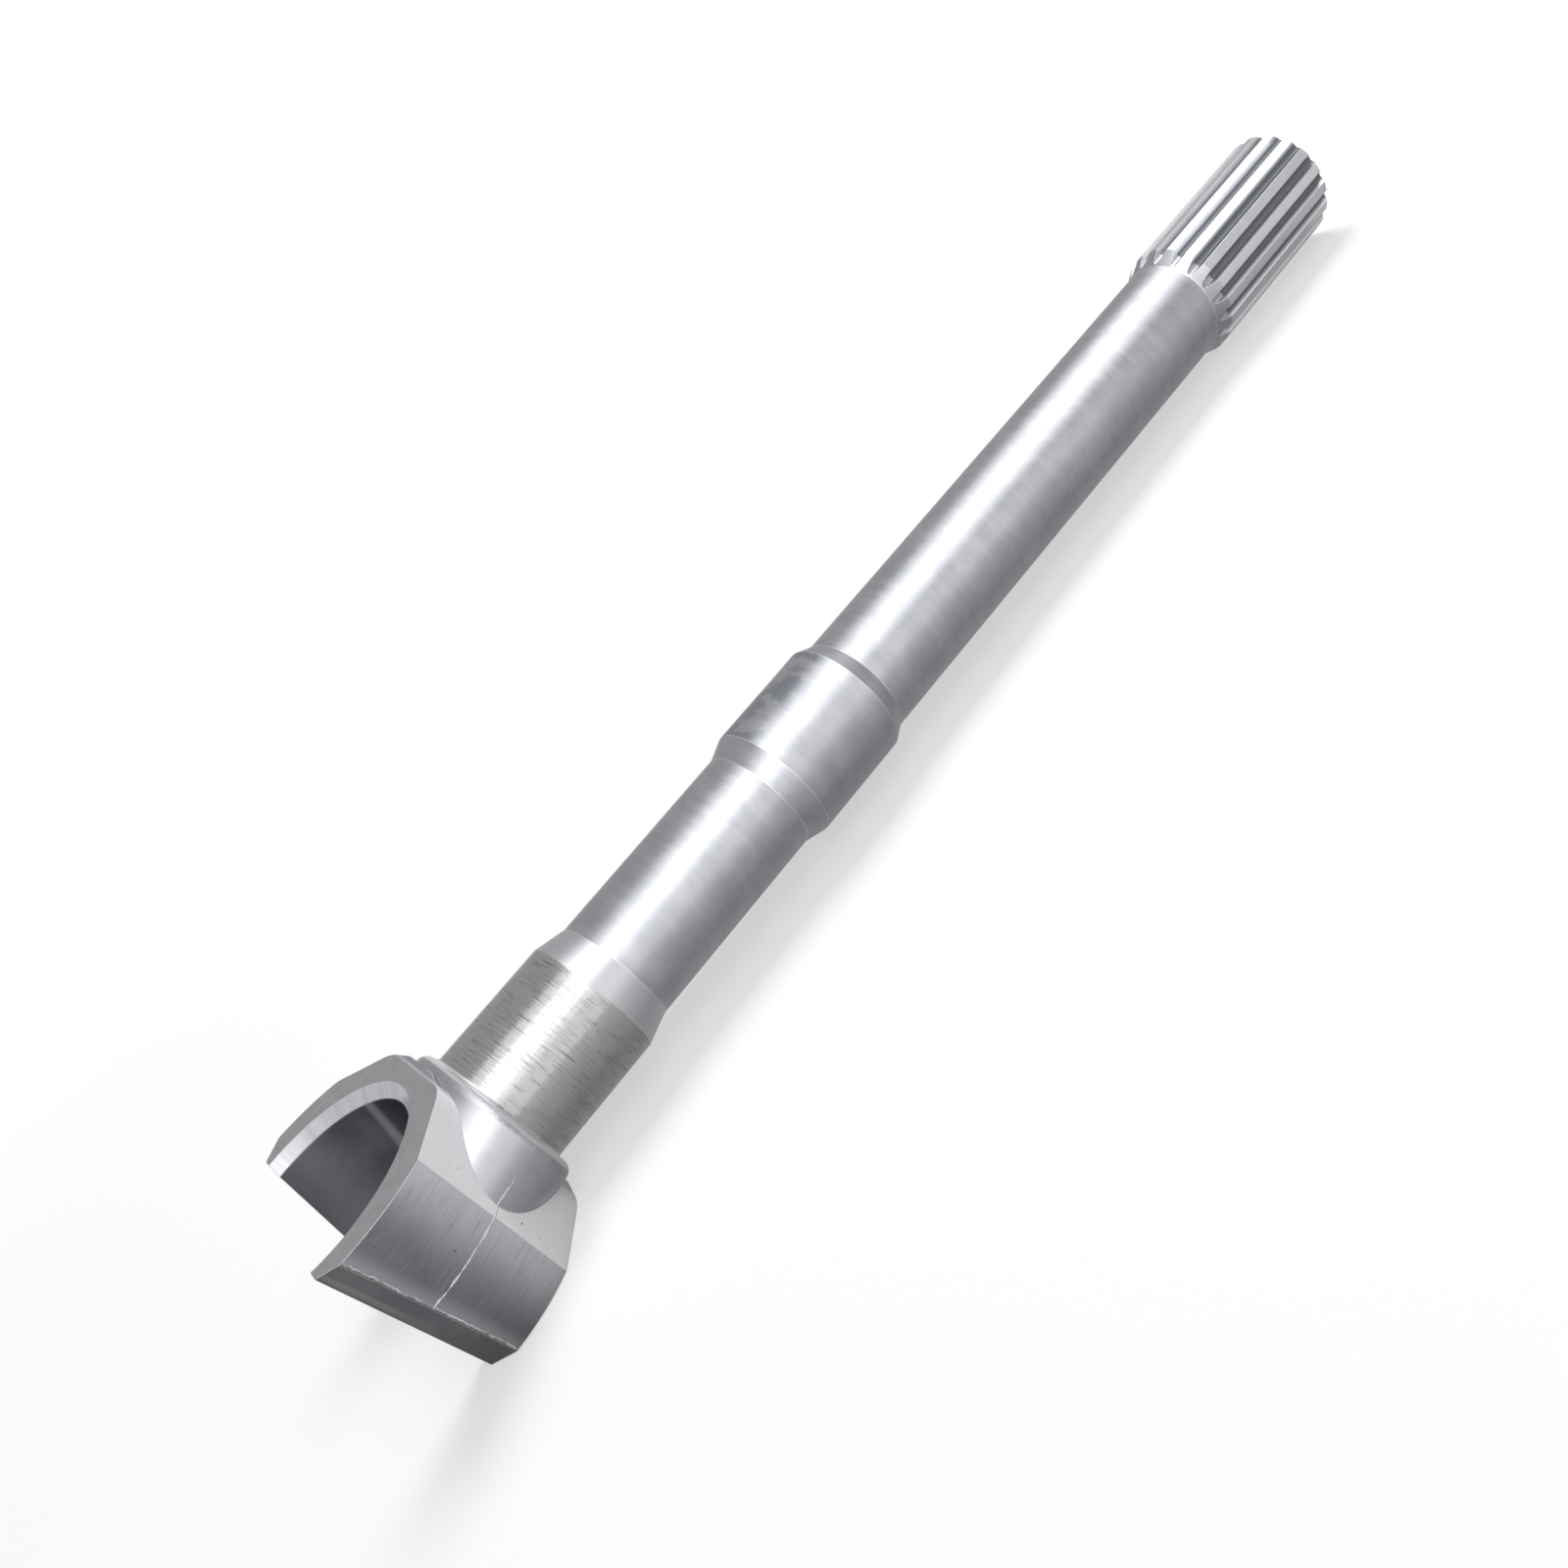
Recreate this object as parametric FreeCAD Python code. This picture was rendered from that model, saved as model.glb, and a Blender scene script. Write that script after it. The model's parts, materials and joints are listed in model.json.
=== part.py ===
import FreeCAD, Part
import math
import os

# Driving axle shaft with a C fork at one end and a straight spline at the other.
# One forging, machined on the journal, the collar, the shaft, the spline, the slot
# and the two end faces of the fork. Millimetres. While it is built, +X runs along
# the shaft from the fork to the spline, x = 0 is the fork side end of the journal,
# the slot of the fork runs along Y, and +Z points out of one cheek. At the end the
# piece is laid down as it comes to rest, on one end face of the fork and the tip of
# the spline, so the slot then runs up and down.

# Journal for the steering knuckle bush
journal_d = 62.0
journal_length = 57.0
journal_fillet_r = 1.2
journal_taper_length = 14.5

# Waist between the journal and the seal collar
waist_d = 54.6
waist_length = 98.0

# Seal collar
collar_lead_length = 10.5
collar_d = 61.5
collar_length = 52.0
collar_run_out_length = 8.0

# Long plain shaft
shaft_d = 54.0
shaft_length = 273.5

# Spline
spline_lead_length = 8.5
spline_d = 61.0
spline_root_d = 54.6
spline_length = 99.5
spline_teeth = 18
spline_land_share = 0.46
spline_floor_share = 0.30
spline_floor_rise = 0.4
spline_flank_r = 12.0
spline_end_chamfer = 2.5
spline_phase_deg = 7.0

# Lathe centre in the spline end
centre_hole_d = 6.0
centre_hole_depth = 14.0
centre_cone_d = 14.0
centre_cone_deg = 60.0

# Oval boss behind the fork, tapered by its forging draft. Its height is from cheek to
# cheek and its width along the slot.
boss_root_x = 33.0
boss_root_height = 110.0
boss_root_width = 73.0
boss_end_height = 94.0
boss_end_width = 71.0
boss_edge_r = 5.0

# Fork: slot, end faces, cheeks and back
slot_centre_x = -69.6
slot_d = 95.0
slot_chamfer = 5.0
fork_width = 76.0
cheek_half_height = 65.6
cheek_crown_x = 4.6
cheek_crown_r = 72.0
cheek_end_x = 37.2
back_corner_x = 59.2
back_corner_half_height = 32.0
back_corner_r = 20.0
back_x = 63.2
back_edge_half_height = 14.0

# Ends of the horns
horn_reach = 9.0
horn_tip_half_height = 57.4
horn_bevel_deg = 40.0
horn_skew = 9.0

# How far a cutting body runs past what it cuts
overcut = 5.0

X_AXIS = FreeCAD.Vector(1, 0, 0)
Y_AXIS = FreeCAD.Vector(0, 1, 0)
ORIGIN = FreeCAD.Vector(0, 0, 0)

# Stations along the shaft
journal_end = journal_length
waist_start = journal_end + journal_taper_length
waist_end = waist_start + waist_length
collar_start = waist_end + collar_lead_length
collar_end = collar_start + collar_length
shaft_start = collar_end + collar_run_out_length
shaft_end = shaft_start + shaft_length
spline_start = shaft_end + spline_lead_length
spline_end = spline_start + spline_length

# End faces of the fork
fork_left_y = fork_width / 2
fork_right_y = -fork_width / 2


def turned_solid(points):
    """Revolve a list of edges' end points, x and radius, about the shaft axis."""
    corners = [FreeCAD.Vector(x, 0, radius) for x, radius in points]
    outline = Part.makePolygon(corners + [corners[0]])
    return Part.Face(outline).revolve(ORIGIN, X_AXIS, 360)


def arc(start, middle, end):
    return Part.Arc(start, middle, end).toShape()


def oval(x, height, width):
    """An upright oval square to the shaft, as a closed wire."""
    section = Part.Wire([Part.Ellipse(ORIGIN, height / 2, width / 2).toShape()])
    section.rotate(ORIGIN, Y_AXIS, -90)
    section.translate(X_AXIS * x)
    return section


def boss():
    """The oval boss from inside the fork to the shoulder, with a rounded end edge."""
    root_x = slot_centre_x + boss_root_x
    root = oval(root_x, boss_root_height, boss_root_width)
    end = oval(-journal_fillet_r, boss_end_height, boss_end_width)
    body = Part.makeLoft([root, end], True, True)
    end_edges = [edge for edge in body.Edges if edge.BoundBox.XMin > root_x + overcut]
    return body.makeFillet(boss_edge_r, end_edges)


def journal_root():
    """The core inside the boss, ending in the fillet between shoulder and journal."""
    root_x = slot_centre_x + slot_d / 2
    journal_r = journal_d / 2
    shoulder_x = -journal_fillet_r
    core_r = journal_r + journal_fillet_r
    fillet_start = FreeCAD.Vector(shoulder_x, 0, core_r)
    fillet_end = FreeCAD.Vector(0, 0, journal_r)
    fillet_middle = FreeCAD.Vector(shoulder_x + journal_fillet_r * (1 - math.cos(math.pi / 4)), 0,
                                   journal_r + journal_fillet_r * (1 - math.sin(math.pi / 4)))
    axis_start = FreeCAD.Vector(root_x, 0, 0)
    core_start = FreeCAD.Vector(root_x, 0, core_r)
    edges = [
        Part.makeLine(axis_start, core_start),
        Part.makeLine(core_start, fillet_start),
        arc(fillet_start, fillet_middle, fillet_end),
        Part.makeLine(fillet_end, ORIGIN),
        Part.makeLine(ORIGIN, axis_start),
    ]
    return Part.Face(Part.Wire(edges)).revolve(ORIGIN, X_AXIS, 360)


def turned_shaft():
    """Journal, waist, collar, shaft and the spline blank, in one turning."""
    tip_r = spline_d / 2
    points = [
        (0, 0),
        (0, journal_d / 2),
        (journal_end, journal_d / 2),
        (waist_start, waist_d / 2),
        (waist_end, waist_d / 2),
        (collar_start, collar_d / 2),
        (collar_end, collar_d / 2),
        (shaft_start, shaft_d / 2),
        (shaft_end, shaft_d / 2),
        (spline_start, tip_r),
        (spline_end - spline_end_chamfer, tip_r),
        (spline_end, tip_r - spline_end_chamfer),
        (spline_end, 0),
    ]
    return turned_solid(points)


def spline_gap():
    """The space between two teeth: a rounded floor and two curved flanks."""
    pitch = 2 * math.pi / spline_teeth
    tip_r = spline_d / 2
    root_r = spline_root_d / 2
    tip_half = pitch * (1 - spline_land_share) / 2
    floor_half = pitch * spline_floor_share / 2
    mouth_r = tip_r + overcut
    floor_r = root_r + spline_floor_rise

    def at(radius, angle):
        return FreeCAD.Vector(shaft_end, -radius * math.sin(angle), radius * math.cos(angle))

    def flank(side):
        low = at(floor_r, side * floor_half)
        high = at(tip_r, side * tip_half)
        chord = high - low
        sagitta = chord.Length ** 2 / (8 * spline_flank_r)
        inward = X_AXIS.cross(chord).normalize() * side
        return low, (low + high) * 0.5 + inward * sagitta, high

    left_low, left_middle, left_high = flank(-1)
    right_low, right_middle, right_high = flank(1)
    slope = (tip_half - floor_half) / (tip_r - floor_r)
    mouth_half = tip_half + slope * overcut
    left_mouth = at(mouth_r, -mouth_half)
    right_mouth = at(mouth_r, mouth_half)
    edges = [
        arc(left_high, left_middle, left_low),
        arc(left_low, at(root_r, 0), right_low),
        arc(right_low, right_middle, right_high),
        Part.makeLine(right_high, right_mouth),
        Part.makeLine(right_mouth, left_mouth),
        Part.makeLine(left_mouth, left_high),
    ]
    length = spline_end - shaft_end + overcut
    return Part.Face(Part.Wire(edges)).extrude(X_AXIS * length)


def cut_spline(body):
    """Cut every gap of the spline. The gaps run out in the lead cone."""
    pitch_deg = 360 / spline_teeth
    gaps = []
    for tooth in range(spline_teeth):
        gap = spline_gap()
        gap.rotate(ORIGIN, X_AXIS, (tooth + 0.5) * pitch_deg - spline_phase_deg)
        gaps.append(gap)
    return body.cut(gaps)


def lathe_centre():
    """The drilled and countersunk centre in the end of the spline."""
    hole_r = centre_hole_d / 2
    cone_r = centre_cone_d / 2
    cone_depth = (cone_r - hole_r) / math.tan(math.radians(centre_cone_deg / 2))
    points = [
        (spline_end - centre_hole_depth, 0),
        (spline_end - centre_hole_depth, hole_r),
        (spline_end - cone_depth, hole_r),
        (spline_end, cone_r),
        (spline_end + overcut, cone_r),
        (spline_end + overcut, 0),
    ]
    return turned_solid(points)


def rounded_corner(before, corner, after, radius):
    """Start, middle and end of the arc that rounds a corner between two straight edges."""
    to_before = (before - corner).normalize()
    to_after = (after - corner).normalize()
    half_angle = to_before.getAngle(to_after) / 2
    reach = radius / math.tan(half_angle)
    bisector = (to_before + to_after).normalize()
    middle = corner + bisector * (radius / math.sin(half_angle) - radius)
    return corner + to_before * reach, middle, corner + to_after * reach


def cheek_height(x_from_slot):
    """Half height of the crowned cheek at a distance behind the slot's centre."""
    along = x_from_slot - cheek_crown_x
    return cheek_half_height - cheek_crown_r + math.sqrt(cheek_crown_r ** 2 - along ** 2)


def fork_block():
    """The fork before its slot is bored: crowned cheeks, sloped facets, flat back."""
    horn_stock_x = -horn_reach - horn_skew - overcut
    middle_x = (horn_stock_x + cheek_end_x) / 2

    def at(x_from_slot, height):
        return FreeCAD.Vector(slot_centre_x + x_from_slot, fork_right_y, height)

    def cheek(side):
        return [at(x, side * cheek_height(x)) for x in (horn_stock_x, middle_x, cheek_end_x)]

    top = cheek(1)
    bottom = cheek(-1)
    top_corner = at(back_corner_x, back_corner_half_height)
    bottom_corner = at(back_corner_x, -back_corner_half_height)
    back_top = at(back_x, back_edge_half_height)
    back_bottom = at(back_x, -back_edge_half_height)
    top_round = rounded_corner(top[2], top_corner, back_top, back_corner_r)
    bottom_round = rounded_corner(back_bottom, bottom_corner, bottom[2], back_corner_r)
    edges = [
        arc(*top),
        Part.makeLine(top[2], top_round[0]),
        arc(*top_round),
        Part.makeLine(top_round[2], back_top),
        Part.makeLine(back_top, back_bottom),
        Part.makeLine(back_bottom, bottom_round[0]),
        arc(*bottom_round),
        Part.makeLine(bottom_round[2], bottom[2]),
        arc(bottom[2], bottom[1], bottom[0]),
        Part.makeLine(bottom[0], top[0]),
    ]
    return Part.Face(Part.Wire(edges)).extrude(Y_AXIS * fork_width)


def slot_cutter():
    """The bored slot with a chamfer at each end face."""
    slot_r = slot_d / 2
    start = FreeCAD.Vector(slot_centre_x, fork_right_y - overcut, 0)
    bore = Part.makeCylinder(slot_r, fork_width + 2 * overcut, start, Y_AXIS)
    wide_r = slot_r + slot_chamfer + overcut
    depth = slot_chamfer + overcut
    left = Part.makeCone(slot_r, wide_r, depth,
                         FreeCAD.Vector(slot_centre_x, fork_left_y - slot_chamfer, 0), Y_AXIS)
    right = Part.makeCone(slot_r, wide_r, depth,
                          FreeCAD.Vector(slot_centre_x, fork_right_y + slot_chamfer, 0), -Y_AXIS)
    return bore.fuse([left, right])


def horn_trim(side):
    """What is cut off one horn: its end face and the bevel outside it, both skewed."""
    reach = cheek_half_height
    rise = reach * math.tan(math.radians(horn_bevel_deg))
    tip_x = slot_centre_x - horn_reach + horn_skew / 2
    run = horn_skew / fork_width * overcut
    start_y = fork_right_y - overcut
    points = [
        (tip_x + run, 0),
        (tip_x + run, horn_tip_half_height),
        (tip_x + run + reach, horn_tip_half_height + rise),
        (tip_x + run - reach, horn_tip_half_height + rise),
        (tip_x + run - reach, 0),
    ]
    corners = [FreeCAD.Vector(x, start_y, z) for x, z in points]
    outline = Part.makePolygon(corners + [corners[0]])
    sweep = FreeCAD.Vector(-horn_skew - 2 * run, fork_width + 2 * overcut, 0)
    trim = Part.Face(outline).extrude(sweep)
    if side < 0:
        trim.rotate(ORIGIN, X_AXIS, 180)
    return trim


def lay_angle():
    """Tilt at which the fork's lower end face and the spline's tip touch the floor."""
    tip_x = spline_end - spline_end_chamfer
    fork_back_x = slot_centre_x + back_x
    return math.atan2(fork_width / 2 - spline_d / 2, tip_x - fork_back_x)


def lay_down(body):
    """Lay the shaft on the floor, with the origin under the middle of its box."""
    body.rotate(ORIGIN, X_AXIS, 90)
    body.rotate(ORIGIN, Y_AXIS, math.degrees(lay_angle()))
    box = body.optimalBoundingBox(False, False)
    body.translate(FreeCAD.Vector(-box.Center.x, -box.Center.y, -box.ZMin))
    return body


def axle_shaft():
    blank = fork_block().fuse([boss(), journal_root(), turned_shaft()])
    machined = blank.cut([slot_cutter(), horn_trim(1), horn_trim(-1), lathe_centre()])
    machined = cut_spline(machined).removeSplitter()
    solid = machined.Solids[0]
    return lay_down(solid)


def main():
    os.makedirs("parts", exist_ok=True)
    shaft = axle_shaft()
    shaft.exportStep("parts/axle_shaft.step")
    box = shaft.BoundBox
    print("axle_shaft", "valid", shaft.isValid(), "volume cm3", round(shaft.Volume / 1000, 1),
          "size", round(box.XLength, 1), round(box.YLength, 1), round(box.ZLength, 1))
    print("lay angle", round(math.degrees(lay_angle()), 3))


main()
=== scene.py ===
# Looks, light and camera for a forged axle shaft with a C fork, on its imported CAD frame.
# Metres throughout, unless a name ends in _MM. The shaft's own frame is in millimetres and
# has u along its axis from the fork side end of the journal, v out of the cheek away from
# the camera, and w along the slot of the fork, upwards as the part lies. A mask is a value
# from 0 to 1 that says how much a point belongs to a zone.
import json
import math

import bpy
from mathutils import Euler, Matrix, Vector


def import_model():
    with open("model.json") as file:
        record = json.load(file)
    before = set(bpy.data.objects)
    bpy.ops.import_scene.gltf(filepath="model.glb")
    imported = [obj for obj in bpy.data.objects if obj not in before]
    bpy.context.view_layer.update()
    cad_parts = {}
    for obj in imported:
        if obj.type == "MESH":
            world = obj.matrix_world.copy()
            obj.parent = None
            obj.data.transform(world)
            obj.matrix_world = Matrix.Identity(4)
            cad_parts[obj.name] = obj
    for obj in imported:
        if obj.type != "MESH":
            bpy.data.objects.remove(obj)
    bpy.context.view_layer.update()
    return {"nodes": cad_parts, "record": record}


MM = 0.001
WHITE = (1.0, 1.0, 1.0)

# Camera that took the photograph, in the row frame
CAMERA_PLACE = (-0.27492, -0.53081, 0.28450)
CAMERA_TURN_DEG = (52.484, 35.855, -43.594)
CAMERA_LENS_MM = 31.635
CAMERA_SENSOR_MM = 36.0
CAMERA_SHIFT = (-0.0533, 0.0642)
CAMERA_CLIP_START = 0.01

# Lengths along the axis of the shaft
JOURNAL_TAPER_MM = 14.5
WAIST_MM = 98.0
COLLAR_LEAD_MM = 10.5
RUN_OUT_MM = 8.0
SHAFT_MM = 273.5
SPLINE_LEAD_MM = 8.5
SPLINE_MM = 99.5

# Radii of the turned lengths
WAIST_R_MM = 27.3
SHAFT_R_MM = 27.0

# Fork
FORK_HALF_WIDTH_MM = 38.0
SLOT_CHAMFER_MM = 5.0
HORN_REACH_MM = 9.0
HORN_TIP_HALF_HEIGHT_MM = 57.4
HORN_BEVEL_DEG = 40.0
HORN_SKEW_MM = 9.0
CHEEK_END_FROM_SLOT_MM = 37.2

# Oval boss: its two ends along u, the half axes of its oval there, and its rounded edge
BOSS_SPAN_MM = (-36.6, -1.2)
BOSS_HALF_HEIGHT_MM = (55.0, 47.0)
BOSS_HALF_WIDTH_MM = (36.5, 35.5)
BOSS_EDGE_START_MM = -6.4

# How far past a face its looks reach, and how soft the borders of the zones are
SKIN_MM = 0.1
FACE_SKIN_MM = (0.12, 0.04)
BAND_SOFT_MM = 0.3
CONE_SOFT_MM = 0.15

# Bands along u: the fork's looks fade into the shaft's, and what lies round the journal
FORK_END_MM = (-10.0, -8.0)
JOURNAL_START_MM = -0.4
# The ring at the boss's end is painted bright and given less metal: a painted highlight on its
# fillet
BOSS_FILLET_HIGHLIGHT_MM = (-3.4, -0.3)
BOSS_FILLET_HIGHLIGHT_SOFT_MM = 0.4
BOSS_FILLET_HIGHLIGHT_SHARE = 0.8
BOSS_END_SOFT_MM = 0.6
BOSS_EDGE_SOFT_MM = 0.4

# Ridges where the cones meet the turned lengths
RIDGES = ("waist", "lead", "collar", "run_out", "shaft", "spline_lead")
RIDGE_HALF_MM = 0.3
RIDGE_SOFT_MM = 0.25
RIDGE_SHARE = 0.6

# Spline: where its looks start, the walls of its gaps, and its end
SPLINE_SOFT_MM = 0.5
GAP_WALL_R_MM = (27.6, 30.1)
TIP_END_MM = (0.1, 0.05)
TIP_END_SHARE = 0.7

# Rings round the boss as shares of its oval: its own skin, a painted highlight along the crease
# beside it, and the seam
BOSS_OVAL = (1.006, 1.012)
CREASE_HIGHLIGHT_OVAL = (1.018, 1.040)
CREASE_HIGHLIGHT_OVAL_SOFT = 0.006
CREASE_HIGHLIGHT_W_MM = (2.0, 14.0)
SEAM_OVAL = (0.90, 1.16)
SEAM_OVAL_SOFT = 0.02

# Bevel outside each horn, by the distance inside its border
BEVEL_JAG_MM = 1.1
BEVEL_BORDER_MM = (-0.32, -0.22)
BEVEL_LINE_MM = (-0.75, -0.40)
BEVEL_LINE_SOFT_MM = 0.12
# A painted sheen: the cheek beside the bevel is made lighter
BEVEL_PAINTED_SHEEN_MM = (-5.0, -0.4)
BEVEL_PAINTED_SHEEN_SHARE = 0.5
BEVEL_STREAK_MM = (1.2, 3.4)
BEVEL_STREAK_SOFT_MM = 0.9
BEVEL_STREAK_W_MM = (-6.0, 10.0)
BEVEL_STREAK_SHARE = 0.8

# Flash line of the forging
FLASH_FADE_MM = (-25.0, -15.0)
FLASH_WANDER_PER_MM = 0.12
FLASH_WANDER_MM = 1.6
FLASH_THICK_PER_MM = 0.22
FLASH_THICK_ROW = 3.0
FLASH_THICK_MM = 1.6
FLASH_THICK_FROM = 0.40
FLASH_JAG_MM = 0.15
FLASH_SOFT_MM = 0.22

# Noise patterns: repeats per millimetre along u, v and w, detail and roughness
NOISE_MIDDLE = 0.5
DRAWN_PATTERNS = {
    "rings": ((3.2, 0.03, 0.03), 4.0, 0.55),
    "wide_rings": ((0.4, 0.02, 0.02), 3.0, 0.55),
    "grind": ((3.2, 0.065, 0.065), 1.0, 0.55),
    "brushed": ((0.06, 0.06, 1.6), 5.0, 0.65),
    "blotch": ((0.10, 0.06, 0.06), 3.0, 0.55),
    "jag": ((0.3, 0.3, 0.55), 3.0, 0.55),
}

# Noise patterns that are the same every way: repeats per millimetre
EVEN_PATTERNS = {"cloud": 0.045, "mottle": 0.16, "grain": 0.9}
EVEN_DETAIL = 4.0

# Metals
STEEL = (0.60, 0.61, 0.64)
BOSS_STEEL = (0.58, 0.59, 0.62)
JOURNAL_STEEL = (0.54, 0.54, 0.545)
TAPER_STEEL = (0.76, 0.77, 0.80)
CHEEK_STEEL = (0.20, 0.20, 0.22)
# Painted light: the cheek is made lighter towards its end
CHEEK_PAINTED_LIGHT_STEEL = (0.80, 0.81, 0.84)
FACET_STEEL = (0.94, 0.95, 0.97)
FACE_STEEL = (0.58, 0.59, 0.61)
CHAMFER_STEEL = (0.90, 0.91, 0.94)
BORE_STEEL = (0.16, 0.165, 0.19)
BEVEL_STEEL = (0.235, 0.225, 0.245)
# Painted light and shade on the spline: its lands lighter, the floors of its gaps darker
LAND_PAINTED_LIGHT_STEEL = (0.90, 0.91, 0.94)
GAP_PAINTED_SHADE_STEEL = (0.22, 0.23, 0.25)
# Also laid on as painted highlights on worn edges, the crease and the fillet at the boss's end
BRIGHT_STEEL = (0.90, 0.91, 0.93)
STAIN_STEEL = (0.36, 0.38, 0.44)
SCRATCH_STEEL = (0.16, 0.155, 0.15)
PIT_STEEL = (0.14, 0.14, 0.15)
TIP_END_STEEL = (0.40, 0.40, 0.42)
# Colour of the painted sheen on the cheek beside the bevel
BEVEL_PAINTED_SHEEN_STEEL = (0.62, 0.60, 0.63)
BEVEL_STREAK_STEEL = (0.38, 0.385, 0.38)
# Painted shade at the back of the bore, painted light at its tips and a painted reflection
# across it
BORE_PAINTED_SHADE_STEEL = (0.07, 0.072, 0.085)
BORE_PAINTED_LIGHT_STEEL = (0.36, 0.365, 0.40)
BORE_PAINTED_REFLECTION_STEEL = (0.48, 0.49, 0.53)
CHAMFER_BAND_STEEL = (0.78, 0.79, 0.83)

# What the patterns lay over a metal: pattern, where it starts and is full, share, colour
STEEL_SPECKS = (
    ("wide_rings", 0.3, 0.7, 1.0, (0.64, 0.65, 0.68)),
    ("mottle", 0.45, 0.75, 0.25, (0.50, 0.51, 0.55)),
    ("blotch", 0.38, 0.60, 0.25, (0.40, 0.42, 0.48)),
)
CHEEK_SPECKS = (("cloud", 0.3, 0.7, 1.0, (0.25, 0.255, 0.28)),)
BRUSH_SPECKS = (
    ("brushed", 0.48, 0.72, 0.5, (0.30, 0.30, 0.33)),
    ("brushed", 0.45, 0.28, 0.4, (0.66, 0.67, 0.70)),
)
FACET_SPECKS = (("brushed", 0.50, 0.75, 0.35, (0.62, 0.63, 0.66)),)
BOSS_SPECKS = (("mottle", 0.4, 0.7, 0.3, (0.48, 0.49, 0.52)),)
JOURNAL_SPECKS = (("rings", 0.35, 0.65, 1.0, (0.60, 0.60, 0.605)),)
FACE_SPECKS = (("mottle", 0.3, 0.7, 1.0, (0.65, 0.66, 0.675)),)
BORE_SPECKS = (("cloud", 0.35, 0.65, 1.0, (0.11, 0.112, 0.13)),)
BEVEL_SPECKS = (("cloud", 0.4, 0.6, 1.0, (0.28, 0.27, 0.29)),)

# Marks: where a pattern starts and is full, and how strong the mark is
SCRATCH_GRIND = (0.58, 0.64)
SCRATCH_MOTTLE = (0.40, 0.52)
SCRATCH_SHARE = 0.65
STAIN_V_MM = (-18.0, -11.0)
STAIN_BLOTCH = (0.42, 0.54)
STAIN_SHARE = 0.7
PITS_PER_MM = 0.20
PIT_CLOUD = (0.50, 0.62)
PIT_SIZE = (0.05, 0.12)
BEVEL_LINE_MOTTLE = (0.35, 0.6)
EDGE_WEAR_AND_HIGHLIGHT_MOTTLE = (0.24, 0.44)
# Where the painted light on the cheek starts and is full, measured from the slot
CHEEK_PAINTED_LIGHT_FROM_SLOT_MM = (10.0, 40.2)

# Bands round the bore and the chamfer, by the angle from the back of the slot; in the bore these
# are painted shade at the back, painted light at the tips and a slanting painted reflection
BORE_PAINTED_SHADE_RAD = (0.25, 0.75)
BORE_PAINTED_LIGHT_RAD = (0.95, 1.75)
BORE_PAINTED_SHADE_AND_LIGHT_SHARE = 0.8
BORE_PAINTED_REFLECTION_RAD = (0.76, 0.86)
BORE_PAINTED_REFLECTION_SOFT_RAD = 0.04
BORE_PAINTED_REFLECTION_RAD_PER_MM = 0.006
BORE_PAINTED_REFLECTION_SHARE = 0.7
CHAMFER_BANDS_PER_RAD = 9.0
CHAMFER_BANDS = (0.42, 0.60)

# Roughness, in pairs where a pattern changes it
STEEL_ROUGHNESS = (0.30, 0.36)
CHEEK_ROUGHNESS = (0.34, 0.48)
JOURNAL_ROUGHNESS = (0.14, 0.27)
WIDE_CHANGE = (0.2, 0.8)
RING_CHANGE = (0.42, 0.58)
BOSS_ROUGHNESS = 0.34
FACET_ROUGHNESS = 0.50
FACE_ROUGHNESS = 0.42
CHAMFER_ROUGHNESS = 0.30
BORE_ROUGHNESS = 0.34
BEVEL_ROUGHNESS = 0.45
GAP_ROUGHNESS = 0.42

# Share of metal, below one where a worked face scatters the light
# The fillet at the boss's end has less metal, for its painted highlight
BOSS_FILLET_HIGHLIGHT_METAL = 0.75
JOURNAL_METAL = 0.97
FACET_METAL = 0.15
CHAMFER_METAL = 0.55
# Less metal on the bright lines: the flash, the bevel line, and the painted edge and crease
# highlights
EDGE_METAL = 0.35

# Relief
RING_HEIGHT = 0.0000015
JOURNAL_RING_HEIGHT = 0.0000025
SCRATCH_DEPTH = 0.00001
BRUSH_HEIGHT = 0.00002
GRAIN_HEIGHT = 0.000012
PIT_DEPTH = 0.0001
FLASH_HEIGHT = 0.0003
BEVEL_LINE_HEIGHT = 0.0002

# Edges that are rounded in the looks, and how far a normal turns on an edge that is worn bright
# and painted as a highlight
EDGE_RADIUS = 0.0005
EDGE_SAMPLES = 6
EDGE_TURN = (0.90, 0.985)

# Stage
FLOOR_SIZE = 60.0
FLOOR_GREY = 0.40
FLOOR_GLOW = 0.525
FLOOR_GLOW_REACH = (0.45, 2.6)
FLOOR_IN_METAL_GREY = 0.16
FLOOR_IN_METAL_GLOW = (0.09, 0.42)
FLOOR_IN_METAL_REACH = 0.30
FLOOR_UNDER_GLOW = 0.20
FLOOR_UNDER_REACH = 0.05
ROOM_LIGHT = 0.30
ROOM_IN_METAL = 0.41


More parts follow.
